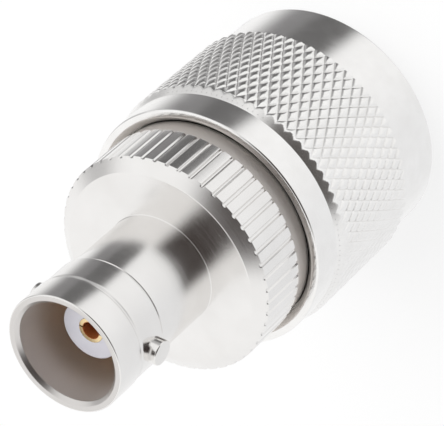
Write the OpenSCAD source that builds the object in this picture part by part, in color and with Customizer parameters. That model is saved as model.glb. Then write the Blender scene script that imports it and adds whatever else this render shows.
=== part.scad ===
// Coaxial adapter: a bayonet jack at one end and a screw-coupled plug at the other.
// Millimetres. The axis is Z: the coupling nut stands on Z = 0 and the jack's mouth is on top.

/* [Jack barrel] */
// Length of the whole adapter
overall_length = 34.9; // [34.5:0.1:37]
// Diameter of the band at the mouth
barrel_d = 9.66; // [9.6:0.02:9.8]
// Bore of the barrel
barrel_bore_d = 8.12; // [8.04:0.02:8.2]
// Depth of the bore
barrel_bore_depth = 8.4; // [8:0.1:9]
// Lead-in round the mouth of the bore
barrel_lead = 0.25; // [0.1:0.05:0.4]
// Length of the band at the mouth
band_length = 2.55; // [2.3:0.05:2.7]
// Length of the cove behind the band
cove_length = 0.55; // [0.4:0.05:0.7]
// Depth of the cove
cove_depth = 0.12; // [0.06:0.02:0.24]
// Diameter of the collar that carries the lugs
collar_d = 9.48; // [9.4:0.02:9.56]
// Length of the collar
collar_length = 2.26; // [2.14:0.02:2.5]
// Diameter of the neck
neck_d = 9; // [8.8:0.02:9.2]
// Radius of the fillet between neck and shoulder
neck_fillet = 0.2; // [0.1:0.05:0.6]

/* [Bayonet lugs] */
// Diameter of a lug
lug_d = 1.96; // [1.8:0.02:2.04]
// Distance across the tips of both lugs
lug_span = 11.02; // [10.8:0.02:11.2]
// Chamfer round the tip of a lug
lug_edge = 0.12; // [0.06:0.02:0.2]

/* [Shoulder and grip ring] */
// Diameter of the plain ring and the flange that run in the nut
ring_d = 17.5; // [17:0.1:18]
// Height of the plain ring that shows behind the nut
ring_gap = 1.16; // [0.8:0.02:1.6]
// Step from the plain ring out to the grip ring
grip_rise = 0.25; // [0.15:0.05:0.5]
// Height of the bevel between shoulder and grip ring
bevel_height = 0.7; // [0.4:0.05:1]
// Width of the bevel
bevel_width = 1; // [0.6:0.05:1.4]
// Height of the grooved part
grip_height = 4.1; // [3.6:0.1:4.3]
// Grooves round the grip ring
groove_count = 54; // [48:2:60]
// Depth of a groove
groove_depth = 0.15; // [0.1:0.01:0.24]
// Width of a groove at the surface
groove_width = 0.36; // [0.2:0.02:0.44]
// Angle from the first lug to a groove
groove_turn = 5; // [0:0.5:6.5]

/* [Plug body] */
// Depth of the outer contact's tip behind the nut's front face
tip_depth = 2.6; // [2.4:0.1:3]
// Diameter of the outer contact
sleeve_d = 8.4; // [8.2:0.02:8.5]
// Bore of the outer contact
sleeve_bore_d = 7; // [6.9:0.02:7.1]
// Slots in the outer contact
slot_count = 4; // [3:1:6]
// Width of a slot
slot_width = 0.4; // [0.3:0.05:0.6]
// Length of a slot
slot_length = 5.5; // [4:0.1:6.5]
// Height of the flange that holds the nut
flange_height = 3.9; // [3.7:0.1:4.2]
// Diameter of the spigot inside the jack body
spigot_d = 11; // [10.4:0.1:12]
// Height of the spigot
spigot_height = 4; // [3.4:0.1:4.4]

/* [Insulators] */
// Diameter of the insulator's nose in the jack
nose_d = 4.72; // [4.6:0.02:4.8]
// Depth of the nose behind the jack's mouth
nose_depth = 3.25; // [3:0.05:4]
// Diameter of the insulators inside the body
bead_d = 8; // [7.4:0.1:8.4]
// Height of the jack insulator's foot
foot_height = 3; // [2.4:0.1:3.3]
// Height of the plug insulator
bead_height = 4; // [3:0.1:4.6]

/* [Centre contacts] */
// Diameter of the socket contact
socket_d = 2; // [1.96:0.02:2.2]
// Bore of the socket contact
socket_bore_d = 1.36; // [1.3:0.02:1.4]
// Depth of the socket's bore
socket_depth = 5; // [4.5:0.1:6]
// Width of the slits in the socket
slit_width = 0.14; // [0.1:0.02:0.2]
// Length of the slits in the socket
slit_length = 4; // [3:0.1:4.4]
// Diameter of the socket contact's stop
stop_d = 3.8; // [3.6:0.1:4.2]
// Height of the stop
stop_height = 1; // [0.6:0.1:1.4]
// Diameter of the stud that joins both contacts
stud_d = 1.2; // [1:0.05:1.4]
// Length of the stud
stud_length = 2; // [1.5:0.1:3]
// Diameter of the plug contact's shank
shank_d = 3.04; // [2.9:0.02:3.2]
// Diameter of the plug contact's pin
pin_d = 1.65; // [1.6:0.01:1.7]
// Depth of the pin's tip behind the outer contact's tip
pin_depth = 0.8; // [0.4:0.1:1.2]
// Depth of the pin's shoulder behind the outer contact's tip
pin_shoulder_depth = 5.3; // [5:0.05:5.6]

/* [Coupling nut] */
// Wall of the plain band at the rear
nut_wall = 1.05; // [0.9:0.05:1.3]
// Step from the rear band down to the front band
nut_front_step = 0.15; // [0.05:0.05:0.2]
// Length of the plain band at the front
nut_front_length = 4.5; // [4:0.1:5]
// Height of the knurl above the rear band
knurl_rise = 0.33; // [0.28:0.01:0.4]
// Depth of the grooves between the diamonds
knurl_depth = 0.16; // [0.12:0.01:0.24]
// Share of a diamond that is flat on top
knurl_top = 0.43; // [0.35:0.01:0.7]
// Diamonds round the knurl
knurl_count = 70; // [60:2:74]
// Rows of half diamonds along the knurl
knurl_rows = 11; // [9:2:11]
// Angle of the knurl to the axis
knurl_angle = 30; // [28:1:32]
// Length of the bevel at the knurl's rear end
knurl_bevel = 0.7; // [0.5:0.05:0.9]
// Length of the plain band at the rear
nut_rear_length = 2.6; // [2.4:0.1:2.8]
// Diameter of the mouth in front of the thread
nut_mouth_d = 16.1; // [16:0.05:16.4]
// Depth of the mouth
nut_mouth_depth = 2; // [1.6:0.1:2.2]
// Crest diameter of the thread
thread_d = 14.9; // [14.7:0.02:15.1]
// Length of the thread
thread_length = 6.6; // [6:0.1:7]
// Diameter of the relief behind the thread
relief_d = 16.1; // [16:0.05:16.4]
// Length of the relief
relief_length = 3.6; // [3.3:0.1:3.8]

/* [Retaining ring and gasket] */
// Thickness of the retaining ring
snap_height = 0.9; // [0.7:0.05:1]
// Depth of the ring's groove in the flange
snap_depth = 0.75; // [0.5:0.05:0.9]
// Depth of the ring's groove in the nut
snap_catch = 0.38; // [0.25:0.01:0.42]
// Height of the ring's middle above the flange's lower face
snap_level = 1.65; // [1.5:0.05:1.9]
// Opening of the retaining ring
snap_gap = 3; // [1.5:0.1:5]
// Diameter of the gasket
gasket_d = 14.2; // [13.6:0.1:14.8]
// Diameter of the gasket's seat at the root of the outer contact
seat_d = 9; // [8.8:0.05:9.6]
// Thickness of the gasket
gasket_height = 1.4; // [1:0.05:1.8]

/* [Clearances] */
// Radial clearance of the turning nut on the flange
nut_play = 0.15; // [0.08:0.01:0.2]
// End play between nut and flange
end_play = 0.3; // [0.1:0.05:0.4]
// Clearance round the retaining ring
snap_play = 0.08; // [0.04:0.01:0.1]
// Radial clearance of pressed and slipped-in pieces
fit = 0.01; // [0.005:0.005:0.02]
// Radial clearance of the gasket on its seat
gasket_play = 0.1; // [0.05:0.01:0.2]
// Small chamfer on turned edges
edge = 0.15; // [0.1:0.01:0.2]

/* [Hidden] */
$fn = 96;
// Diameters that follow from the plain ring
grip_d = ring_d + 2 * grip_rise;
shoulder_d = grip_d - 2 * bevel_width;
nut_bore_d = ring_d + 2 * nut_play;
nut_rear_d = nut_bore_d + 2 * nut_wall;
nut_front_d = nut_rear_d - 2 * nut_front_step;
knurl_d = nut_rear_d + 2 * knurl_rise;
// Half the height of a diamond, and the knurl's levels
knurl_row = PI * knurl_d / knurl_count / 2 / tan(knurl_angle);
knurl_front_bevel = knurl_bevel / 2;
knurl_z = nut_front_length + knurl_front_bevel;
knurl_end = knurl_z + knurl_rows * knurl_row;
// Knurl surfaces stand this much proud of the plain bands
proud = 0.02;
// Levels of the nut
nut_rear_z = knurl_end + knurl_bevel;
nut_length = nut_rear_z + nut_rear_length;
thread_end = nut_mouth_depth + thread_length;
nut_seat_z = thread_end + relief_length;
// Levels of the plug body
flange_z = nut_seat_z + end_play;
joint_z = flange_z + flange_height;
gasket_z = flange_z - gasket_height;
spigot_top = joint_z + spigot_height;
snap_z = flange_z + snap_level;
snap_slot = snap_height + 2 * snap_play;
// Levels of the jack body
grip_z = nut_length + ring_gap;
bevel_z = grip_z + grip_height;
shoulder_z = bevel_z + bevel_height;
band_z = overall_length - band_length;
cove_z = band_z - cove_length;
collar_z = cove_z - collar_length;
lug_z = (cove_z + collar_z) / 2;
bore_floor_z = overall_length - barrel_bore_depth;
// Levels of the insulators and contacts
nose_z = overall_length - nose_depth;
foot_z = spigot_top - foot_height;
bead_z = foot_z - bead_height;
pin_z = tip_depth + pin_depth;
pin_shoulder_z = tip_depth + pin_shoulder_depth;
stud_hole_depth = stud_length + 0.3;

module turned(outline) {
    rotate_extrude() polygon(outline);
}

module jack_body() {
    fillet = [for (a = [0 : 15 : 90])
        [neck_d / 2 + neck_fillet * (1 - sin(a)), shoulder_z + neck_fillet * (1 - cos(a))]];
    cove = [for (t = [1 / 6 : 1 / 6 : 0.9])
        [collar_d / 2 + (barrel_d - collar_d) / 2 * t - cove_depth * sin(180 * t),
         cove_z + cove_length * t]];
    color([0.78, 0.77, 0.74]) difference() {
        turned(concat(
            [[spigot_d / 2 + fit, joint_z], [ring_d / 2, joint_z], [ring_d / 2, grip_z],
             [grip_d / 2, grip_z], [grip_d / 2, bevel_z], [shoulder_d / 2, shoulder_z]],
            fillet,
            [[neck_d / 2, collar_z], [collar_d / 2, collar_z], [collar_d / 2, cove_z]],
            cove,
            [[barrel_d / 2, band_z], [barrel_d / 2, overall_length - edge],
             [barrel_d / 2 - edge, overall_length], [barrel_bore_d / 2 + barrel_lead, overall_length],
             [barrel_bore_d / 2, overall_length - barrel_lead], [barrel_bore_d / 2, bore_floor_z],
             [nose_d / 2 + fit, bore_floor_z], [nose_d / 2 + fit, spigot_top],
             [spigot_d / 2 + fit, spigot_top]]));
        for (i = [0 : groove_count - 1])
            rotate(groove_turn + 360 / groove_count * i)
                groove();
        for (side = [0, 180])
            rotate(side)
                translate([barrel_bore_d / 4, 0, lug_z])
                    rotate([0, 90, 0])
                        cylinder(d = lug_d + 2 * fit, h = lug_span / 2);
    }
}

// One straight V groove, wider and higher than the surface it cuts
module groove() {
    reach = 0.3;
    half = groove_width / 2 * (groove_depth + reach) / groove_depth;
    translate([0, 0, grip_z - reach])
        linear_extrude(bevel_z - grip_z + bevel_height + reach)
            polygon([[grip_d / 2 - groove_depth, 0], [grip_d / 2 + reach, -half],
                     [grip_d / 2 + reach, half]]);
}

module bayonet_lug(side) {
    foot = barrel_bore_d / 2 + fit;
    color([0.78, 0.77, 0.74]) rotate(side)
        translate([foot, 0, lug_z])
            rotate([0, 90, 0]) {
                cylinder(d = lug_d, h = lug_span / 2 - foot - lug_edge);
                translate([0, 0, lug_span / 2 - foot - lug_edge])
                    cylinder(d1 = lug_d, d2 = lug_d - 2 * lug_edge, h = lug_edge);
            }
}

module jack_insulator() {
    color([0.94, 0.94, 0.96])
        turned([[socket_d / 2 + fit, nose_z], [socket_d / 2 + fit, foot_z + stop_height],
                [stop_d / 2 + fit, foot_z + stop_height], [stop_d / 2 + fit, foot_z],
                [bead_d / 2 - fit, foot_z], [bead_d / 2 - fit, spigot_top], [nose_d / 2, spigot_top],
                [nose_d / 2, nose_z]]);
}

module jack_contact() {
    color([0.88, 0.66, 0.28]) difference() {
        turned([[0, foot_z - stud_length], [stud_d / 2, foot_z - stud_length], [stud_d / 2, foot_z],
                [stop_d / 2, foot_z], [stop_d / 2, foot_z + stop_height],
                [socket_d / 2, foot_z + stop_height], [socket_d / 2, nose_z], [socket_bore_d / 2, nose_z],
                [socket_bore_d / 2, nose_z - socket_depth], [0, nose_z - socket_depth]]);
        translate([-socket_d, -slit_width / 2, nose_z - slit_length])
            cube([2 * socket_d, slit_width, slit_length + 1]);
    }
}

module plug_contact() {
    tip = pin_d / 4;
    color([0.88, 0.66, 0.28])
        turned([[0, pin_z], [tip, pin_z], [pin_d / 2, pin_z + tip], [pin_d / 2, pin_shoulder_z],
                [shank_d / 2, pin_shoulder_z], [shank_d / 2, foot_z], [stud_d / 2 + fit, foot_z],
                [stud_d / 2 + fit, foot_z - stud_hole_depth], [0, foot_z - stud_hole_depth]]);
}

module plug_insulator() {
    color([0.94, 0.94, 0.96])
        turned([[shank_d / 2 + fit, bead_z], [bead_d / 2 - fit, bead_z], [bead_d / 2 - fit, foot_z],
                [shank_d / 2 + fit, foot_z]]);
}

module plug_body() {
    color([0.78, 0.77, 0.74]) difference() {
        turned([[sleeve_bore_d / 2, tip_depth + edge], [sleeve_bore_d / 2 + edge, tip_depth],
                [sleeve_d / 2 - edge, tip_depth], [sleeve_d / 2, tip_depth + edge],
                [sleeve_d / 2, gasket_z], [seat_d / 2, gasket_z], [seat_d / 2, flange_z],
                [ring_d / 2 - edge, flange_z], [ring_d / 2, flange_z + edge],
                [ring_d / 2, snap_z - snap_slot / 2], [ring_d / 2 - snap_depth, snap_z - snap_slot / 2],
                [ring_d / 2 - snap_depth, snap_z + snap_slot / 2], [ring_d / 2, snap_z + snap_slot / 2],
                [ring_d / 2, joint_z], [spigot_d / 2, joint_z], [spigot_d / 2, spigot_top],
                [bead_d / 2, spigot_top], [bead_d / 2, bead_z], [sleeve_bore_d / 2, bead_z]]);
        for (i = [0 : slot_count - 1])
            rotate(360 / slot_count * (i + 0.5))
                translate([sleeve_bore_d / 4, -slot_width / 2, tip_depth - 1])
                    cube([sleeve_d / 2, slot_width, slot_length + 1]);
    }
}

module sealing_gasket() {
    bore = seat_d / 2 + gasket_play;
    color([0.62, 0.2, 0.15])
        turned([[bore, flange_z], [bore, gasket_z], [gasket_d / 2, gasket_z], [gasket_d / 2, flange_z]]);
}

module retaining_ring() {
    inner = ring_d / 2 - snap_depth + snap_play;
    outer = nut_bore_d / 2 + snap_catch - snap_play;
    color([0.72, 0.71, 0.69]) difference() {
        turned([[inner, snap_z - snap_height / 2], [outer, snap_z - snap_height / 2],
                [outer, snap_z + snap_height / 2], [inner, snap_z + snap_height / 2]]);
        translate([inner / 2, -snap_gap / 2, snap_z - snap_height])
            cube([outer, snap_gap, 2 * snap_height]);
    }
}

module coupling_nut() {
    mid_z = (knurl_z + knurl_end) / 2;
    color([0.8, 0.79, 0.76]) {
        turned([[nut_mouth_d / 2 + edge, 0], [nut_front_d / 2 - 2 * edge, 0], [nut_front_d / 2, 2 * edge],
                [nut_front_d / 2, mid_z], [nut_rear_d / 2, mid_z], [nut_rear_d / 2, nut_length - edge],
                [nut_rear_d / 2 - edge, nut_length], [nut_bore_d / 2 + 3 * edge, nut_length],
                [nut_bore_d / 2, nut_length - 3 * edge], [nut_bore_d / 2, snap_z + snap_slot / 2],
                [nut_bore_d / 2 + snap_catch, snap_z + snap_slot / 2],
                [nut_bore_d / 2 + snap_catch, snap_z - snap_slot / 2],
                [nut_bore_d / 2, snap_z - snap_slot / 2], [nut_bore_d / 2, nut_seat_z],
                [relief_d / 2, nut_seat_z], [relief_d / 2, thread_end], [thread_d / 2, thread_end],
                [thread_d / 2, nut_mouth_depth], [nut_mouth_d / 2, nut_mouth_depth],
                [nut_mouth_d / 2, edge]]);
        diamond_knurl();
    }
}

// A sleeve of raised diamonds with flat tops and V grooves between them, bevelled at both ends
module diamond_knurl() {
    n = knurl_count;
    half = 180 / n;
    high = knurl_d / 2;
    low = high - knurl_depth;
    inner = nut_front_d / 2 - edge;
    front = nut_front_d / 2 + proud;
    rear = nut_rear_d / 2 + proud;
    function spot(r, a, z) = [r * cos(a), r * sin(a), z];
    function middle(i, j) = half * (2 * i + 1 + j % 2);
    function row_z(j) = knurl_z + j * knurl_row;
    // Points: where grooves cross, then four top corners a diamond, then two rings at each end
    crossings = [for (j = [0 : knurl_rows], i = [0 : n - 1])
        spot(low, middle(i, j) - half, row_z(j))];
    tops = [for (j = [0 : knurl_rows], i = [0 : n - 1], k = [0 : 3])
        spot(high, middle(i, j) + [-1, 0, 1, 0][k] * knurl_top * half,
             row_z(j) + [0, 1, 0, -1][k] * knurl_top * knurl_row)];
    rings = [for (e = [[inner, nut_front_length, 0], [front, nut_front_length, 0],
                       [rear, nut_rear_z, knurl_rows], [inner, nut_rear_z, knurl_rows]],
                  i = [0 : n - 1], k = [0 : 2])
        spot(e[0], middle(i, e[2]) + [-1, -knurl_top, knurl_top][k] * half, e[1])];
    // Numbers of those points
    function crossing(i, j) = j * n + (i + n) % n;
    function top(i, j, k) = len(crossings) + 4 * (j * n + (i + n) % n) + k;
    function ring(e, m) = len(crossings) + len(tops) + e * 3 * n + m % (3 * n);
    function rim(j, m) = m % 3 == 0 ? crossing(m / 3, j) : top(floor(m / 3), j, m % 3 == 1 ? 0 : 2);
    function quad(a, b, c, d) = [[a, b, c], [a, c, d]];
    around = 3 * n;
    rows = [for (e = [0 : 5])
        [for (m = [0 : around - 1])
            e == 2 ? rim(0, m) : e == 3 ? rim(knurl_rows, m) : ring(e < 2 ? e : e - 2, m)]];
    upper = [for (j = [0 : knurl_rows - 1], i = [0 : n - 1], t = [0 : 4])
        let (l = top(i, j, 0), u = top(i, j, 1), r = top(i, j, 2), peak = crossing(i + j % 2, j + 1))
        t == 0 ? [l, u, r] :
        t < 3 ? quad(crossing(i, j), peak, u, l)[t - 1] :
        quad(peak, crossing(i + 1, j), r, u)[t - 3]];
    lower = [for (j = [1 : knurl_rows], i = [0 : n - 1], t = [0 : 4])
        let (l = top(i, j, 0), r = top(i, j, 2), d = top(i, j, 3), foot = crossing(i + j % 2, j - 1))
        t == 0 ? [l, r, d] :
        t < 3 ? quad(foot, crossing(i, j), l, d)[t - 1] :
        quad(crossing(i + 1, j), foot, d, r)[t - 3]];
    ends = [for (e = [0, 1, 3, 4, 5], m = [0 : around - 1], t = [0, 1])
        let (p = rows[e], q = rows[(e + 1) % 6], next = (m + 1) % around)
        quad(p[m], q[m], q[next], p[next])[t]];
    polyhedron(concat(crossings, tops, rings), concat(upper, lower, ends), convexity = 10);
}

jack_body();
bayonet_lug(0);  // bayonet_lug_1
bayonet_lug(180);  // bayonet_lug_2
jack_insulator();
jack_contact();
plug_contact();
plug_insulator();
plug_body();
sealing_gasket();
retaining_ring();
coupling_nut();
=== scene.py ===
"""Looks of the coaxial adapter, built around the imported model."""
import math

import bmesh
import bpy
import numpy as np
from mathutils import Matrix, Vector


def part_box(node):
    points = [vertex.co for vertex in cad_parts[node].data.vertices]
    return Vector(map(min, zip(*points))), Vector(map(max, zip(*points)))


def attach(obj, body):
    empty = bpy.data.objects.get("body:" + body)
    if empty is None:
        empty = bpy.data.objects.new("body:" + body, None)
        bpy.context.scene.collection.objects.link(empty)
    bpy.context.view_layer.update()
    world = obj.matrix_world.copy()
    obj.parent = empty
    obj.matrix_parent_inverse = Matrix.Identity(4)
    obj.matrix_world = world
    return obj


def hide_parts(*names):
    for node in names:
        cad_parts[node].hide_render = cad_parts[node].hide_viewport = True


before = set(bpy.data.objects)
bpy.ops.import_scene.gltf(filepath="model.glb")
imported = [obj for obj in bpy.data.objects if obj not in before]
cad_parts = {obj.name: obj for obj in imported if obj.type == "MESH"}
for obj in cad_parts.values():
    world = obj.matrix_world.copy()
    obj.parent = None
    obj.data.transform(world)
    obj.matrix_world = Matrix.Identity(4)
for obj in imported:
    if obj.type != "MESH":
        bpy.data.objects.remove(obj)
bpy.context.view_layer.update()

# Sizes in millimetres, as radii and as levels above the nut's front face
MM = 0.001


def level(node, end):
    """Lowest (0) or highest (1) level of a CAD node, in millimetres."""
    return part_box(node)[end][2] / MM


def reach(node):
    """Largest radius of a CAD node, in millimetres."""
    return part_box(node)[1][1] / MM


mouth_z = level("jack_body", 1)
joint_z = level("jack_body", 0)
nut_top_z = level("coupling_nut", 1)
nose_z = level("jack_insulator", 1)
foot_z = level("jack_insulator", 0)
spigot_top_z = level("plug_body", 1)
grip_r = reach("jack_body")
knurl_r = reach("coupling_nut")

# Jack body, from its mouth down
barrel_r, barrel_bore_r, barrel_bore_depth, barrel_lead = 4.83, 4.06, 8.4, 0.3
rim_inset, rim_depth = 0.1, 0.34
band_length, cove_length, cove_depth = 2.55, 0.55, 0.12
collar_r, collar_length = 4.74, 2.26
relief_depth, relief_length = 0.05, 0.28
neck_r, neck_fillet = 4.5, 0.07
shoulder_r, shoulder_depth = 8.0, 12.0
bevel_height, grip_height = 0.7, 4.1
ring_r, spigot_r = 8.75, 5.51
body_lip, barrel_edge = 0.06, 0.12

# Straight grooves of the grip ring. The half width is counted in mesh columns
groove_count, groove_columns, groove_half_columns = 54, 12, 2
groove_depth, groove_crown, groove_turn = 0.15, 0.22, math.radians(5)

# Lug pins. The hub is the small flat in the middle of each end
lug_r, lug_tip_r, lug_edge, lug_hub_r, lug_columns = 0.98, 5.51, 0.12, 0.02, 48

# Insulator, and the socket in it
nose_r, nose_edge, nose_bore_r, nose_bore_edge = 2.36, 0.12, 1.01, 0.05
foot_r, stop_r, stop_height, insulator_columns = 3.99, 1.91, 1.0, 128
socket_bore_r, socket_depth = 0.68, 6.0
fit_gap = 0.01

# Coupling nut
nut_front_r, nut_front_length, nut_front_lead = 9.8, 4.5, 0.15
nut_rear_r, nut_bore_r, nut_rear_lead = 9.95, 8.9, 0.45
nut_mouth_r, nut_mouth_depth, nut_seat_z = 8.05, 2.0, 12.2
nut_lip, nut_edge = 0.08, 0.2
snap_catch, snap_z, snap_slot = 0.38, 14.15, 1.06
thread_crest_r, thread_root_r, thread_pitch, thread_length = 7.45, 7.94, 25.4 / 24, 6.6

# Diamond knurl of the nut. The cells are the mesh rows and columns of one diamond's half and whole
knurl_count, knurl_rows, knurl_angle = 70, 11, math.radians(30)
knurl_depth, knurl_cells, knurl_crown, knurl_blend = 0.15, 8, 2.7, 0.25
knurl_bevel, knurl_front_bevel = 0.7, 0.35
bevel_cells, front_bevel_cells = 6, 3
knurl_end_share = 0.5

# Levels and lengths that follow from the sizes above
shoulder_z = mouth_z - shoulder_depth
bevel_z = shoulder_z - bevel_height
grip_z = bevel_z - grip_height
band_z = mouth_z - band_length
cove_z = band_z - cove_length
collar_z = cove_z - collar_length
lug_z = (cove_z + collar_z) / 2
bore_floor_z = mouth_z - barrel_bore_depth
knurl_pitch = 2 * math.pi * knurl_r / knurl_count
knurl_row = knurl_pitch / 2 / math.tan(knurl_angle)
knurl_z = nut_front_length + knurl_front_bevel
knurl_end_z = knurl_z + knurl_rows * knurl_row
nut_rear_z = knurl_end_z + knurl_bevel
thread_end_z = nut_mouth_depth + thread_length

# Mesh building

corner_steps = 6


def rounded(outline, largest_share=0.45):
    """Outline of (radius, level, corner radius) points, with its corners turned into short arcs. A corner
    takes no more than the largest share of the edges beside it."""
    out = []
    for i, (r, z, corner) in enumerate(outline):
        p = np.array((r, z))
        if corner == 0:
            out.append(p)
            continue
        back = np.array(outline[i - 1][:2]) - p
        ahead = np.array(outline[(i + 1) % len(outline)][:2]) - p
        cut = min(corner, largest_share * np.linalg.norm(back), largest_share * np.linalg.norm(ahead))
        start = p + back / np.linalg.norm(back) * cut
        end = p + ahead / np.linalg.norm(ahead) * cut
        for t in np.linspace(0, 1, corner_steps + 1):
            out.append((1 - t) ** 2 * start + 2 * t * (1 - t) * p + t ** 2 * end)
    return out


def between(start, end, shares):
    """Plain outline points on the straight from start to end."""
    return [(start[0] + (end[0] - start[0]) * s, start[1] + (end[1] - start[1]) * s, 0) for s in shares]


def mesh_object(name, vertices, faces):
    """A new mesh object at the origin, with its normals turned outwards."""
    mesh = bpy.data.meshes.new(name)
    mesh.from_pydata(vertices, [], faces)
    work = bmesh.new()
    work.from_mesh(mesh)
    bmesh.ops.recalc_face_normals(work, faces=work.faces)
    work.to_mesh(mesh)
    work.free()
    made = bpy.data.objects.new(name, mesh)
    bpy.context.scene.collection.objects.link(made)
    return made


def turned(name, outline, angles, closed=True, stagger=0.0, upright=0, upright_rows=0):
    """Solid of revolution round Z. An open outline gets a cap at both ends. With a stagger, every second row
    is turned by that angle and triangles join the rows. On the first upright_rows rows, every upright-th pair
    of triangles meets in an upright edge, and the other pairs meet in a level one."""
    n = len(angles)
    rows = [[(r * math.cos(a + stagger * (j % 2)) * MM, r * math.sin(a + stagger * (j % 2)) * MM, z * MM)
             for a in angles] for j, (r, z) in enumerate(outline)]
    vertices = [v for row in rows for v in row]
    faces = []
    for j in range(len(rows) - (0 if closed else 1)):
        k = (j + 1) % len(rows)
        for i in range(n):
            m = (i + 1) % n
            if not stagger or j % 2 == k % 2:
                faces.append((j * n + i, j * n + m, k * n + m, k * n + i))
                continue
            turn = j + 1 < upright_rows and m % upright == 0
            if j % 2 == 0:
                beyond = (k + 1) % len(rows)
                faces.append((j * n + i, j * n + m, k * n + i))
                faces.append((k * n + i, j * n + m, beyond * n + m if turn else k * n + m))
            else:
                faces.append((j * n + i, k * n + m, k * n + i))
                faces.append((j * n + m, k * n + m, (j - 1) * n + m if turn else j * n + i))
    if not closed:
        faces.append(tuple(range(n)))
        faces.append(tuple((len(rows) - 1) * n + i for i in range(n)))
    return mesh_object(name, vertices, faces)


def even_angles(count, start=0.0):
    """Column angles at equal steps."""
    return [start + 2 * math.pi * i / count for i in range(count)]


def keep_result(obj, modifier):
    """Makes what the modifier shows obj's own plain mesh, and takes the modifier off."""
    bpy.context.view_layer.update()
    shown = obj.evaluated_get(bpy.context.evaluated_depsgraph_get())
    mesh = bpy.data.meshes.new_from_object(shown)
    obj.modifiers.remove(modifier)
    obj.data = mesh


def shaped_by(obj, tree, **values):
    """Runs a geometry tree on obj, with values for the inputs of those names, and keeps the result."""
    modifier = obj.modifiers.new(tree.name, "NODES")
    modifier.node_group = tree
    for item in tree.interface.items_tree:
        key = item.name.lower().replace(" ", "_")
        if item.in_out == "INPUT" and key in values:
            modifier[item.identifier] = values[key]
    keep_result(obj, modifier)


def shaded(obj, crease=20):
    """Smooth shading with crisp creases, weighted so that flats stay flat beside small roundings."""
    obj.data.shade_smooth()
    obj.data.set_sharp_from_angle(angle=math.radians(crease))
    weigh = obj.modifiers.new("weigh", "WEIGHTED_NORMAL")
    weigh.keep_sharp = True
    keep_result(obj, weigh)


# Node trees


def opaque(colour):
    """A colour with full alpha."""
    return (*colour, 1.0)


class Nodes:
    """Short calls for adding nodes and links to a tree."""

    def __init__(self, tree):
        self.tree = tree

    def add(self, kind, **settings):
        node = self.tree.nodes.new(kind)
        for key, value in settings.items():
            setattr(node, key, value)
        return node

    def put(self, socket, value):
        if isinstance(value, bpy.types.NodeSocket):
            self.tree.links.new(value, socket)
        elif value is not None:
            socket.default_value = value

    def math(self, operation, a, b=None, clamp=False):
        node = self.add("ShaderNodeMath", operation=operation, use_clamp=clamp)
        self.put(node.inputs[0], a)
        self.put(node.inputs[1], b)
        return node.outputs[0]

    def smooth_min(self, a, b, distance):
        node = self.add("ShaderNodeMath", operation="SMOOTH_MIN")
        for socket, value in zip(node.inputs, (a, b, distance)):
            self.put(socket, value)
        return node.outputs[0]

    def vector(self, operation, a, b=None):
        node = self.add("ShaderNodeVectorMath", operation=operation)
        self.put(node.inputs[0], a)
        self.put(node.inputs[1], b)
        return node.outputs["Value"]

    def combine(self, x, y, z=0.0):
        node = self.add("ShaderNodeCombineXYZ")
        for socket, value in zip(node.inputs, (x, y, z)):
            self.put(socket, value)
        return node.outputs[0]

    def separate(self, vector):
        node = self.add("ShaderNodeSeparateXYZ")
        self.put(node.inputs[0], vector)
        return node.outputs

    def mix(self, kind, factor, a, b):
        node = self.add("ShaderNodeMix", data_type=kind)
        for name, value in (("Factor", factor), ("A", a), ("B", b)):
            self.put(node.inputs[name], value)
        return node.outputs["Result"]

    def map_range(self, value, from_min=0.0, from_max=1.0, to_min=0.0, to_max=1.0, interpolation="LINEAR"):
        node = self.add("ShaderNodeMapRange", interpolation_type=interpolation)
        for name, setting in (("Value", value), ("From Min", from_min), ("From Max", from_max),
                              ("To Min", to_min), ("To Max", to_max)):
            self.put(node.inputs[name], setting)
        return node.outputs["Result"]

    def group(self, tree, **values):
        node = self.add("ShaderNodeGroup", node_tree=tree)
        for name, value in values.items():
            self.put(node.inputs[name.replace("_", " ").capitalize()], value)
        return node


def new_tree(name, kind, inputs, outputs):
    """A node group with named sockets: (tree, node helper, input sockets by name, output node)."""
    tree = bpy.data.node_groups.new(name, kind)
    for socket_name, socket_type, value in inputs:
        socket = tree.interface.new_socket(socket_name, in_out="INPUT", socket_type=socket_type)
        if value is not None:
            socket.default_value = value
    for socket_name, socket_type in outputs:
        tree.interface.new_socket(socket_name, in_out="OUTPUT", socket_type=socket_type)
    nodes = Nodes(tree)
    start = nodes.add("NodeGroupInput")
    return tree, nodes, start.outputs, nodes.add("NodeGroupOutput")


def finish_tree(nodes, geometry, material, end):
    """The common end of a geometry tree: real faces with the material on them."""
    real = nodes.add("GeometryNodeRealizeInstances")
    nodes.put(real.inputs["Geometry"], geometry)
    paint = nodes.add("GeometryNodeSetMaterial")
    nodes.put(paint.inputs["Geometry"], real.outputs["Geometry"])
    nodes.put(paint.inputs["Material"], material)
    nodes.put(end.inputs["Geometry"], paint.outputs["Geometry"])


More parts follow.
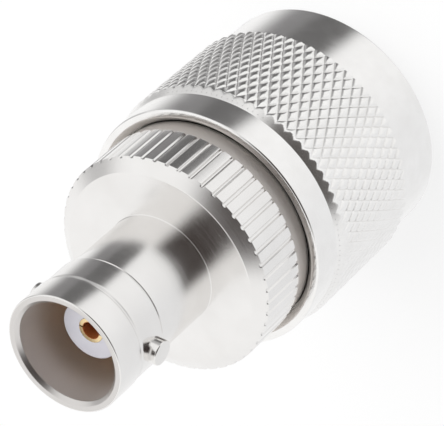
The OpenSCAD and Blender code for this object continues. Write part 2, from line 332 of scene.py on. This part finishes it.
def rolled_grooves_tree():
    """Presses grooves into a turned surface: upright ones, or with a lean both ways, which leaves diamonds.
    They are V grooves at a crown of 1. More rounds what stands between them, and less gives them steep walls
    and a nearly flat floor."""
    tree, nodes, given, end = new_tree(
        "rolled_grooves", "GeometryNodeTree",
        [("Geometry", "NodeSocketGeometry", None), ("Count", "NodeSocketFloat", 60.0),
         ("Outer radius", "NodeSocketFloat", 0.01), ("Depth", "NodeSocketFloat", 0.0002),
         ("Half width", "NodeSocketFloat", 0.2), ("Crown", "NodeSocketFloat", 1.0),
         ("Blend", "NodeSocketFloat", 0.0), ("Lean", "NodeSocketFloat", 0.0),
         ("Start level", "NodeSocketFloat", 0.0), ("End level", "NodeSocketFloat", 1.0),
         ("End length", "NodeSocketFloat", 0.001), ("End share", "NodeSocketFloat", 1.0),
         ("Phase", "NodeSocketFloat", 0.0), ("Material", "NodeSocketMaterial", None)],
        [("Geometry", "NodeSocketGeometry")])
    x, y, z = nodes.separate(nodes.add("GeometryNodeInputPosition").outputs[0])
    radius = nodes.vector("LENGTH", nodes.combine(x, y))
    turns = nodes.math("DIVIDE", nodes.math("ARCTAN2", y, x), 2 * math.pi)
    around = nodes.math("ADD", nodes.math("MULTIPLY", turns, given["Count"]), given["Phase"])
    along = nodes.math("MULTIPLY", nodes.math("SUBTRACT", z, given["Start level"]), given["Lean"])

    def wall(place):
        off = nodes.math("DIVIDE", nodes.math("PINGPONG", place, 0.5), given["Half width"], clamp=True)
        drop = nodes.math("POWER", nodes.math("SUBTRACT", 1.0, off), given["Crown"])
        return nodes.math("SUBTRACT", 1.0, drop)

    height = nodes.smooth_min(wall(nodes.math("SUBTRACT", around, along)),
                              wall(nodes.math("ADD", around, along)), given["Blend"])
    fade = nodes.map_range(z, nodes.math("SUBTRACT", given["End level"], given["End length"]),
                           given["End level"], 1.0, given["End share"])
    cut = nodes.math("MULTIPLY", nodes.math("SUBTRACT", 1.0, height), given["Depth"])
    groove = nodes.math("SUBTRACT", given["Outer radius"], nodes.math("MULTIPLY", cut, fade))
    factor = nodes.math("DIVIDE", nodes.math("MINIMUM", radius, groove), radius)
    move = nodes.add("GeometryNodeSetPosition")
    nodes.put(move.inputs["Geometry"], given["Geometry"])
    nodes.put(move.inputs["Position"],
              nodes.combine(nodes.math("MULTIPLY", x, factor), nodes.math("MULTIPLY", y, factor), z))
    finish_tree(nodes, move.outputs["Geometry"], given["Material"], end)
    return tree


def screw_thread_tree(steps_per_turn=96, wire_corners=4):
    """A coil of four-cornered wire, half sunk in the wall that it lines."""
    tree, nodes, given, end = new_tree(
        "screw_thread", "GeometryNodeTree",
        [("Geometry", "NodeSocketGeometry", None), ("Turns", "NodeSocketFloat", 6.0),
         ("Radius", "NodeSocketFloat", 0.008), ("Length", "NodeSocketFloat", 0.006),
         ("Start level", "NodeSocketFloat", 0.0), ("Height", "NodeSocketFloat", 0.0005),
         ("Material", "NodeSocketMaterial", None)],
        [("Geometry", "NodeSocketGeometry")])
    coil = nodes.add("GeometryNodeCurveSpiral")
    coil.inputs["Resolution"].default_value = steps_per_turn
    nodes.put(coil.inputs["Rotations"], given["Turns"])
    nodes.put(coil.inputs["Start Radius"], given["Radius"])
    nodes.put(coil.inputs["End Radius"], given["Radius"])
    nodes.put(coil.inputs["Height"], given["Length"])
    upright = nodes.add("GeometryNodeSetCurveNormal", mode="Z_UP")
    nodes.put(upright.inputs["Curve"], coil.outputs["Curve"])
    wire = nodes.add("GeometryNodeCurvePrimitiveCircle")
    wire.inputs["Resolution"].default_value = wire_corners
    nodes.put(wire.inputs["Radius"], given["Height"])
    ridge = nodes.add("GeometryNodeCurveToMesh")
    nodes.put(ridge.inputs["Curve"], upright.outputs["Curve"])
    nodes.put(ridge.inputs["Profile Curve"], wire.outputs["Curve"])
    ridge.inputs["Fill Caps"].default_value = True
    place = nodes.add("GeometryNodeTransform")
    nodes.put(place.inputs["Geometry"], ridge.outputs["Mesh"])
    nodes.put(place.inputs["Translation"], nodes.combine(0.0, 0.0, given["Start level"]))
    finish_tree(nodes, place.outputs["Geometry"], given["Material"], end)
    return tree


def turning_marks_group():
    """Fine rings left by the lathe, as a height from 0 to 1."""
    tree, nodes, given, end = new_tree(
        "turning_marks", "ShaderNodeTree",
        [("Rings per metre", "NodeSocketFloat", 9000.0), ("Waver", "NodeSocketFloat", 0.6)],
        [("Height", "NodeSocketFloat")])
    x, y, z = nodes.separate(nodes.add("ShaderNodeTexCoord").outputs["Object"])
    radius = nodes.vector("LENGTH", nodes.combine(x, y))
    angle = nodes.math("MULTIPLY", nodes.math("ARCTAN2", y, x), given["Waver"])
    noise = nodes.add("ShaderNodeTexNoise", noise_dimensions="3D")
    noise.inputs["Scale"].default_value = 1.0
    noise.inputs["Detail"].default_value = 2.0
    nodes.put(noise.inputs["Vector"],
              nodes.combine(nodes.math("MULTIPLY", radius, given["Rings per metre"]),
                            nodes.math("MULTIPLY", z, given["Rings per metre"]), angle))
    nodes.put(end.inputs["Height"], noise.outputs["Fac"])
    return tree


def cloudy_group():
    """Slow cloudy variation over a surface, from 0 to 1."""
    tree, nodes, given, end = new_tree(
        "cloudy", "ShaderNodeTree",
        [("Scale", "NodeSocketFloat", 300.0), ("Contrast", "NodeSocketFloat", 1.5)],
        [("Mask", "NodeSocketFloat")])
    noise = nodes.add("ShaderNodeTexNoise", noise_dimensions="3D")
    noise.inputs["Detail"].default_value = 4.0
    nodes.put(noise.inputs["Vector"], nodes.add("ShaderNodeTexCoord").outputs["Object"])
    nodes.put(noise.inputs["Scale"], given["Scale"])
    centred = nodes.math("MULTIPLY", nodes.math("SUBTRACT", noise.outputs["Fac"], 0.5), given["Contrast"])
    nodes.put(end.inputs["Mask"], nodes.math("ADD", centred, 0.5, clamp=True))
    return tree


def zone_group():
    """Mask of a turned zone: 1 in a bore above its floor, and 1 below the recess level. Depth runs from 0 at
    the bore's mouth to 1 at its floor."""
    tree, nodes, given, end = new_tree(
        "inner_zone", "ShaderNodeTree",
        [("Bore radius", "NodeSocketFloat", 0.0043), ("Mouth level", "NodeSocketFloat", 0.03),
         ("Floor level", "NodeSocketFloat", 0.02), ("Recess level", "NodeSocketFloat", 0.0)],
        [("Mask", "NodeSocketFloat"), ("Depth", "NodeSocketFloat")])
    x, y, z = nodes.separate(nodes.add("ShaderNodeTexCoord").outputs["Object"])
    radius = nodes.vector("LENGTH", nodes.combine(x, y))
    bore = nodes.math("MULTIPLY", nodes.math("LESS_THAN", radius, given["Bore radius"]),
                      nodes.math("GREATER_THAN", z, given["Floor level"]))
    recess = nodes.math("LESS_THAN", z, given["Recess level"])
    depth = nodes.map_range(z, given["Mouth level"], given["Floor level"], interpolation="SMOOTHSTEP")
    nodes.put(end.inputs["Depth"], nodes.math("MULTIPLY", depth, bore))
    nodes.put(end.inputs["Mask"], nodes.math("MAXIMUM", bore, recess))
    return tree


def soft_area_group():
    """Mask of a soft-edged oval part of the room, seen from the middle."""
    tree, nodes, given, end = new_tree(
        "soft_area", "ShaderNodeTree",
        [("Direction", "NodeSocketVector", None), ("Forward", "NodeSocketVector", None),
         ("Side", "NodeSocketVector", None), ("Up", "NodeSocketVector", None),
         ("Half width", "NodeSocketFloat", 0.5), ("Half height", "NodeSocketFloat", 0.5),
         ("Softness", "NodeSocketFloat", 0.2)],
        [("Mask", "NodeSocketFloat")])

    def part(name):
        return nodes.vector("DOT_PRODUCT", given["Direction"], given[name])

    across = nodes.math("DIVIDE", part("Side"), given["Half width"])
    upward = nodes.math("DIVIDE", part("Up"), given["Half height"])
    edge = nodes.map_range(nodes.vector("LENGTH", nodes.combine(across, upward)),
                           nodes.math("ADD", 1.0, given["Softness"]),
                           nodes.math("SUBTRACT", 1.0, given["Softness"]), interpolation="SMOOTHSTEP")
    ahead = nodes.math("GREATER_THAN", part("Forward"), 0.0)
    nodes.put(end.inputs["Mask"], nodes.math("MULTIPLY", edge, ahead))
    return tree


ROLLED_GROOVES = rolled_grooves_tree()
SCREW_THREAD = screw_thread_tree()
TURNING_MARKS = turning_marks_group()
CLOUDY = cloudy_group()
INNER_ZONE = zone_group()
SOFT_AREA = soft_area_group()

# Materials


def finish_material(name, light, deep, roughness, marks, marks_depth, metallic=1.0, cloud_scale=300.0):
    """A finish whose colour and gloss vary in soft clouds, with lathe rings as bump."""
    material = bpy.data.materials.new(name)
    material.use_nodes = True
    nodes = Nodes(material.node_tree)
    shader = material.node_tree.nodes["Principled BSDF"]
    shader.inputs["Metallic"].default_value = metallic
    cloud = nodes.group(CLOUDY, scale=cloud_scale)
    ring = nodes.group(TURNING_MARKS, rings_per_metre=marks)
    nodes.put(shader.inputs["Base Color"],
              nodes.mix("RGBA", cloud.outputs["Mask"], opaque(deep), opaque(light)))
    gloss = nodes.math("MULTIPLY", cloud.outputs["Mask"], ring.outputs["Height"])
    nodes.put(shader.inputs["Roughness"], nodes.map_range(gloss, to_min=roughness[0], to_max=roughness[1]))
    bump = nodes.add("ShaderNodeBump")
    bump.inputs["Strength"].default_value = 1.0
    bump.inputs["Distance"].default_value = marks_depth
    nodes.put(bump.inputs["Height"], ring.outputs["Height"])
    nodes.put(shader.inputs["Normal"], bump.outputs["Normal"])
    return material


def add_zone(material, bore_radius, mouth_level, floor_level, roughness, tint, deep_tint=None, metallic=None,
             recess_level=-1.0):
    """Another colour and roughness in a zone, which can be painted shade: in a bore, where the colour may
    change towards its floor, and below the recess level."""
    nodes = Nodes(material.node_tree)
    shader = material.node_tree.nodes["Principled BSDF"]
    zone = nodes.group(INNER_ZONE, bore_radius=bore_radius * MM, mouth_level=mouth_level * MM,
                       floor_level=floor_level * MM, recess_level=recess_level * MM)
    colour = opaque(tint)
    if deep_tint:
        colour = nodes.mix("RGBA", zone.outputs["Depth"], colour, opaque(deep_tint))
    for name, kind, inner in (("Roughness", "FLOAT", roughness), ("Base Color", "RGBA", colour)):
        outer = shader.inputs[name].links[0].from_socket
        nodes.put(shader.inputs[name], nodes.mix(kind, zone.outputs["Mask"], outer, inner))
    if metallic is not None:
        outer = shader.inputs["Metallic"].default_value
        nodes.put(shader.inputs["Metallic"], nodes.mix("FLOAT", zone.outputs["Mask"], outer, metallic))


# Each finish has a light and a deep colour, a range of roughness, and lathe rings: how many a metre, and their
# height in metres
nickel = finish_material(
    "bright_nickel", (0.90, 0.888, 0.872), (0.82, 0.805, 0.785), (0.14, 0.30), 9000.0, 5e-7)
jack_nickel = finish_material(
    "jack_nickel", (0.91, 0.898, 0.885), (0.82, 0.805, 0.788), (0.17, 0.34), 9000.0, 5e-7)
knurled_nickel = finish_material(
    "rolled_nickel", (0.96, 0.952, 0.94), (0.88, 0.868, 0.852), (0.16, 0.30), 5000.0, 4e-7, cloud_scale=700.0)
gold = finish_material(
    "gold_plate", (1.0, 0.83, 0.52), (0.94, 0.70, 0.36), (0.16, 0.30), 14000.0, 3e-7)
# The PTFE's colour is a darkened blue-grey: the plastic's own off-white with painted shade of the bore it sits
# in
ptfe = finish_material(
    "white_ptfe", (0.62, 0.615, 0.665), (0.56, 0.555, 0.61), (0.38, 0.52), 6000.0, 2e-6,
    metallic=0.0, cloud_scale=900.0)
gasket_rubber = finish_material(
    "gasket_rubber", (0.46, 0.11, 0.075), (0.32, 0.07, 0.05), (0.55, 0.72), 4000.0, 3e-6,
    metallic=0.0, cloud_scale=1500.0)
spring_bronze = finish_material(
    "tinned_bronze", (0.70, 0.68, 0.64), (0.58, 0.55, 0.50), (0.22, 0.34), 8000.0, 3e-7)

# The barrel's bore with the recessed plain ring, the barrel's rim and the socket's bore, where painted shade
# darkens the gold. A margin takes a zone a little into the metal, so that the surface lies well inside it
zone_margin, socket_margin = 0.05, 0.04
add_zone(jack_nickel, barrel_bore_r + zone_margin, mouth_z, bore_floor_z - 2 * zone_margin, 0.6,
         (0.78, 0.745, 0.715), (1.0, 0.85, 0.70), recess_level=grip_z + zone_margin)
add_zone(jack_nickel, barrel_r - rim_inset, mouth_z, mouth_z - rim_depth, 0.32, (0.70, 0.678, 0.66))
# Painted shade in the gold contact's socket: a dark red-brown that grows darker towards the socket's floor
add_zone(gold, socket_bore_r + socket_margin, nose_z, nose_z - socket_depth, 0.45,
         (0.50, 0.165, 0.05), (0.36, 0.10, 0.03), metallic=0.3)

# Turned and rolled pieces


def jack_body():
    """Body with barrel, cove, collar, neck, shoulder, grooved grip ring and plain ring."""
    relief_r = neck_r - relief_depth
    fit_r = nose_r + fit_gap
    runout = between((grip_r, bevel_z), (shoulder_r, shoulder_z), np.linspace(0.04, 0.28, 7))
    fillet = [(neck_r + neck_fillet * (1 - math.sin(a)), shoulder_z + neck_fillet * (1 - math.cos(a)), 0)
              for a in np.linspace(0, math.pi / 2, 12)]
    cove = [(collar_r + (barrel_r - collar_r) * t - cove_depth * math.sin(t ** 2 * math.pi),
             cove_z + cove_length * t, 0) for t in np.linspace(0.1, 0.94, 8)]
    outline = (
        [(spigot_r, joint_z, 0), (ring_r, joint_z, 0), (ring_r, grip_z, 0), (grip_r, grip_z, body_lip),
         (grip_r, grip_z + 2 * body_lip, 0), (grip_r, bevel_z - body_lip, 0), (grip_r, bevel_z, 0)]
        + runout + [(shoulder_r, shoulder_z, body_lip)] + fillet
        + [(neck_r, collar_z - relief_length - relief_depth, 0), (relief_r, collar_z - relief_length, 0),
           (relief_r, collar_z, 0), (collar_r, collar_z, body_lip), (collar_r, cove_z, 0)]
        + cove + [(barrel_r, band_z, barrel_edge), (barrel_r, mouth_z, barrel_edge),
                  (barrel_bore_r + barrel_lead, mouth_z, body_lip),
                  (barrel_bore_r, mouth_z - barrel_lead, body_lip), (barrel_bore_r, bore_floor_z, 0),
                  (fit_r, bore_floor_z, 0), (fit_r, spigot_top_z, 0), (spigot_r, spigot_top_z, 0)])
    columns = even_angles(groove_count * groove_columns, groove_turn)
    body = turned("jack_body_turned", rounded(outline), columns)
    shaped_by(body, ROLLED_GROOVES, count=float(groove_count), outer_radius=grip_r * MM,
              depth=groove_depth * MM, half_width=groove_half_columns / groove_columns, crown=groove_crown,
              phase=-groove_turn * groove_count / (2 * math.pi), material=jack_nickel)
    shaded(body)
    return body


def coupling_nut():
    """Nut with plain bands, a diamond knurl between bevels, and its inner steps."""
    cell = knurl_row / knurl_cells
    knurl = [(knurl_r, knurl_z + cell * j, 0) for j in range(knurl_rows * knurl_cells + 1)]
    front = between((knurl_r, knurl_z), (nut_front_r, nut_front_length),
                    [cell * j / knurl_front_bevel for j in range(front_bevel_cells, 0, -1)])
    rear = between((knurl_r, knurl_end_z), (nut_rear_r, nut_rear_z),
                   [cell * j / knurl_bevel for j in range(1, bevel_cells + 1)])
    catch_r = nut_bore_r + snap_catch
    catch_top_z, catch_foot_z = snap_z + snap_slot / 2, snap_z - snap_slot / 2
    outline = (
        knurl + rear
        + [(nut_rear_r, nut_rear_z, 0), (nut_rear_r, nut_top_z, nut_edge),
           (nut_bore_r + nut_rear_lead, nut_top_z, nut_lip), (nut_bore_r, nut_top_z - nut_rear_lead, 0),
           (nut_bore_r, catch_top_z, 0), (catch_r, catch_top_z, 0), (catch_r, catch_foot_z, 0),
           (nut_bore_r, catch_foot_z, 0), (nut_bore_r, nut_seat_z, 0), (nut_mouth_r, nut_seat_z, 0),
           (nut_mouth_r, thread_end_z, 0), (thread_root_r, thread_end_z, 0),
           (thread_root_r, nut_mouth_depth, 0), (nut_mouth_r, nut_mouth_depth, 0),
           (nut_mouth_r, nut_front_lead, 0), (nut_mouth_r + nut_front_lead, 0, 0),
           (nut_front_r, 0, nut_edge), (nut_front_r, nut_front_length, 0)]
        + front)
    rows = rounded(outline)
    if len(rows) % 2:
        # Staggered rows close up only in an even number, so one more goes into the front edge's rounding
        spare = -(len(front) + 1 + corner_steps // 2 + 1)
        rows.insert(spare, (rows[spare - 1] + rows[spare]) / 2)
    columns = knurl_cells * knurl_count
    nut = turned("coupling_nut_turned", rows, even_angles(columns), stagger=math.pi / columns,
                 upright=knurl_cells // 2, upright_rows=2 * (len(knurl + rear) // 2))
    shaped_by(nut, ROLLED_GROOVES, count=float(knurl_count), outer_radius=knurl_r * MM,
              depth=knurl_depth * MM, half_width=0.5, crown=knurl_crown, blend=knurl_blend,
              lean=1 / (2 * knurl_row * MM), start_level=knurl_z * MM, end_level=knurl_end_z * MM,
              end_length=knurl_row * MM, end_share=knurl_end_share, material=knurled_nickel)
    shaded(nut)
    return nut


def nut_thread():
    """Internal thread of the nut."""
    thread = mesh_object("coupling_nut_thread", [], [])
    height = thread_root_r - thread_crest_r
    length = thread_length - height
    shaped_by(thread, SCREW_THREAD, turns=length / thread_pitch, radius=thread_root_r * MM,
              length=length * MM, start_level=(nut_mouth_depth + height / 2) * MM,
              height=height * MM, material=nickel)
    shaded(thread)
    return thread


def bayonet_lug(name, side):
    """One lug pin, with a rounded tip, on the side given in degrees."""
    foot = barrel_bore_r + fit_gap
    outline = [(lug_hub_r, foot, 0), (lug_r, foot, 0), (lug_r, lug_tip_r, lug_edge),
               (lug_hub_r, lug_tip_r, 0)]
    lug = turned(name, rounded(outline), even_angles(lug_columns), closed=False)
    turn = Matrix.Rotation(math.radians(side), 4, "Z") @ Matrix.Translation((0, 0, lug_z * MM))
    lug.data.transform(turn @ Matrix.Rotation(math.radians(90), 4, "Y"))
    lug.data.materials.append(nickel)
    shaded(lug)
    return lug


def jack_insulator():
    """White insulator: the nose in the barrel and the foot below it."""
    stop_z = foot_z + stop_height
    outline = [(nose_bore_r, nose_z, nose_bore_edge), (nose_bore_r, stop_z, 0), (stop_r, stop_z, 0),
               (stop_r, foot_z, 0), (foot_r, foot_z, 0), (foot_r, spigot_top_z, 0), (nose_r, spigot_top_z, 0),
               (nose_r, nose_z, nose_edge)]
    insulator = turned("jack_insulator_turned", rounded(outline), even_angles(insulator_columns))
    insulator.data.materials.append(ptfe)
    shaded(insulator)
    return insulator


def dress(piece, body, slot, *nodes):
    """Ties a finished piece to its body and hides the CAD nodes that it stands for. The slot is not used."""
    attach(piece, body)
    if nodes:
        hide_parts(*nodes)


dress(jack_body(), "adapter", "nickel", "jack_body")
dress(bayonet_lug("bayonet_lug_1_turned", 0), "adapter", "nickel", "bayonet_lug_1")
dress(bayonet_lug("bayonet_lug_2_turned", 180), "adapter", "nickel", "bayonet_lug_2")
dress(jack_insulator(), "adapter", "ptfe", "jack_insulator")
dress(coupling_nut(), "nut", "nickel", "coupling_nut")
dress(nut_thread(), "nut", "nickel")

kept_finishes = {"jack_contact": gold, "plug_contact": gold, "plug_insulator": ptfe, "plug_body": nickel,
                 "sealing_gasket": gasket_rubber, "retaining_ring": spring_bronze}
for node, finish in kept_finishes.items():
    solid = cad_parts[node]
    solid.data.materials.clear()
    solid.data.materials.append(finish)

# Camera, as fitted to the photograph's ellipses
image_width = 444
image_centre = (222.0, 213.0)
focal_pixels = 3200.0
mouth_pixel, mouth_distance = (64.3, 354.3), 225.1
axis_tilt, axis_turn, lug_angle = math.radians(43.05), math.radians(-41.94), math.radians(115)


def camera_axes():
    """Right, down and away directions of the camera in the part's frame."""
    along = np.array((math.cos(axis_tilt) * math.cos(axis_turn), math.cos(axis_tilt) * math.sin(axis_turn),
                      math.sin(axis_tilt)))
    up = np.array((0.0, -1.0, 0.0))
    u = up - (up @ along) * along
    u /= np.linalg.norm(u)
    v = np.cross(along, u)
    x = math.cos(lug_angle) * u + math.sin(lug_angle) * v
    z = -along
    return np.column_stack((x, np.cross(z, x), z))


def photo_camera():
    """Camera at the photograph's viewing angle. Returns the direction from the part to it."""
    right, down, away = camera_axes()
    mouth_x, mouth_y = (np.array(mouth_pixel) - image_centre) * mouth_distance / focal_pixels
    place = np.array((0, 0, mouth_z)) - (right * mouth_x + down * mouth_y + away * mouth_distance)
    data = bpy.data.cameras.new("photo_camera")
    data.sensor_fit = "HORIZONTAL"
    data.sensor_width = 36.0
    data.lens = focal_pixels / image_width * data.sensor_width
    data.clip_start, data.clip_end = 0.01, 10.0
    camera = bpy.data.objects.new("photo_camera", data)
    turn = Matrix(np.column_stack((right, -down, -away)).tolist()).to_4x4()
    camera.matrix_world = Matrix.Translation(Vector(place * MM)) @ turn
    bpy.context.scene.collection.objects.link(camera)
    bpy.context.scene.camera = camera
    return -away


# Studio: white surroundings with soft dark areas that bright metal mirrors. Each area has its turn from the
# camera's side, its rise, half width and half height in degrees, the softness of its edge and its shade
dark_areas = [
    (-85, -40, 45, 45, 0.6, (0.87, 0.875, 0.885)),
    (-16, 42, 38, 37, 0.22, (0.040, 0.029, 0.026)),
    (-16, 9, 45, 17, 0.2, (0.10, 0.091, 0.087)),
    (126, 0, 14, 30, 0.5, (0.50, 0.497, 0.50)),
    (58, -13, 24, 12, 0.6, (0.50, 0.497, 0.50)),
    (94, -47, 19, 34, 0.65, (0.25, 0.247, 0.25)),
    (64, -44, 14.5, 25, 0.3, (0.15, 0.148, 0.148)),
]
fill_strength = 0.75
floor_half, floor_drop, floor_glow = 0.4, 0.00002, 0.75


def studio_world(toward_camera):
    """White for the camera and for reflections, except where the room is dark, and soft light elsewhere."""
    world = bpy.data.worlds.new("studio")
    world.use_nodes = True
    bpy.context.scene.world = world
    nodes = Nodes(world.node_tree)
    background = world.node_tree.nodes["Background"]
    direction = nodes.add("ShaderNodeTexCoord").outputs["Generated"]
    path = nodes.add("ShaderNodeLightPath")
    camera_turn = math.atan2(toward_camera[1], toward_camera[0])
    room = opaque((1.0, 1.0, 1.0))
    for turn, rise, half_width, half_height, softness, shade in dark_areas:
        a, e = camera_turn + math.radians(turn), math.radians(rise)
        area = nodes.group(
            SOFT_AREA, direction=direction, softness=softness,
            forward=(math.cos(e) * math.cos(a), math.cos(e) * math.sin(a), math.sin(e)),
            side=(-math.sin(a), math.cos(a), 0.0),
            up=(-math.sin(e) * math.cos(a), -math.sin(e) * math.sin(a), math.cos(e)),
            half_width=math.sin(math.radians(half_width)), half_height=math.sin(math.radians(half_height)))
        mirrored = nodes.math("MULTIPLY", area.outputs["Mask"], path.outputs["Is Glossy Ray"])
        room = nodes.mix("RGBA", mirrored, room, opaque(shade))
    nodes.put(background.inputs["Color"], room)
    seen = nodes.math("MAXIMUM", path.outputs["Is Camera Ray"], path.outputs["Is Glossy Ray"])
    seen = nodes.math("MAXIMUM", seen, path.outputs["Is Transmission Ray"])
    nodes.put(background.inputs["Strength"], nodes.map_range(seen, to_min=fill_strength))


def studio_floor():
    """Pale floor that keeps the shadow. Bright metal mirrors the room and not the floor."""
    corners = [(-1, -1), (1, -1), (1, 1), (-1, 1)]
    floor = mesh_object("studio_floor", [(floor_half * x, floor_half * y, -floor_drop) for x, y in corners],
                        [(0, 1, 2, 3)])
    material = bpy.data.materials.new("pale_floor")
    material.use_nodes = True
    nodes = Nodes(material.node_tree)
    shader = material.node_tree.nodes["Principled BSDF"]
    shader.inputs["Base Color"].default_value = (0.92, 0.92, 0.92, 1.0)
    shader.inputs["Roughness"].default_value = 0.9
    shader.inputs["Specular IOR Level"].default_value = 0.0
    glow = nodes.add("ShaderNodeEmission")
    mix = nodes.add("ShaderNodeMixShader")
    path = nodes.add("ShaderNodeLightPath")
    nodes.put(mix.inputs[0], nodes.math("MULTIPLY", path.outputs["Is Camera Ray"], floor_glow))
    nodes.put(mix.inputs[1], shader.outputs[0])
    nodes.put(mix.inputs[2], glow.outputs[0])
    nodes.put(material.node_tree.nodes["Material Output"].inputs["Surface"], mix.outputs[0])
    floor.data.materials.append(material)
    floor.visible_glossy = False


def soft_lamp(name, place, size, power):
    """Square area lamp above the part, aimed at its middle."""
    data = bpy.data.lights.new(name, "AREA")
    data.size = size
    data.energy = power
    lamp = bpy.data.objects.new(name, data)
    lamp.location = place
    aim = Vector((0, 0, mouth_z * MM / 2)) - Vector(place)
    lamp.rotation_euler = aim.to_track_quat("-Z", "Y").to_euler()
    lamp.visible_glossy = False
    bpy.context.scene.collection.objects.link(lamp)


studio_world(photo_camera())
studio_floor()
soft_lamp("key_lamp", place=(-0.12, 0.10, 0.30), size=0.25, power=0.6)

bpy.context.scene.view_settings.view_transform = "Standard"
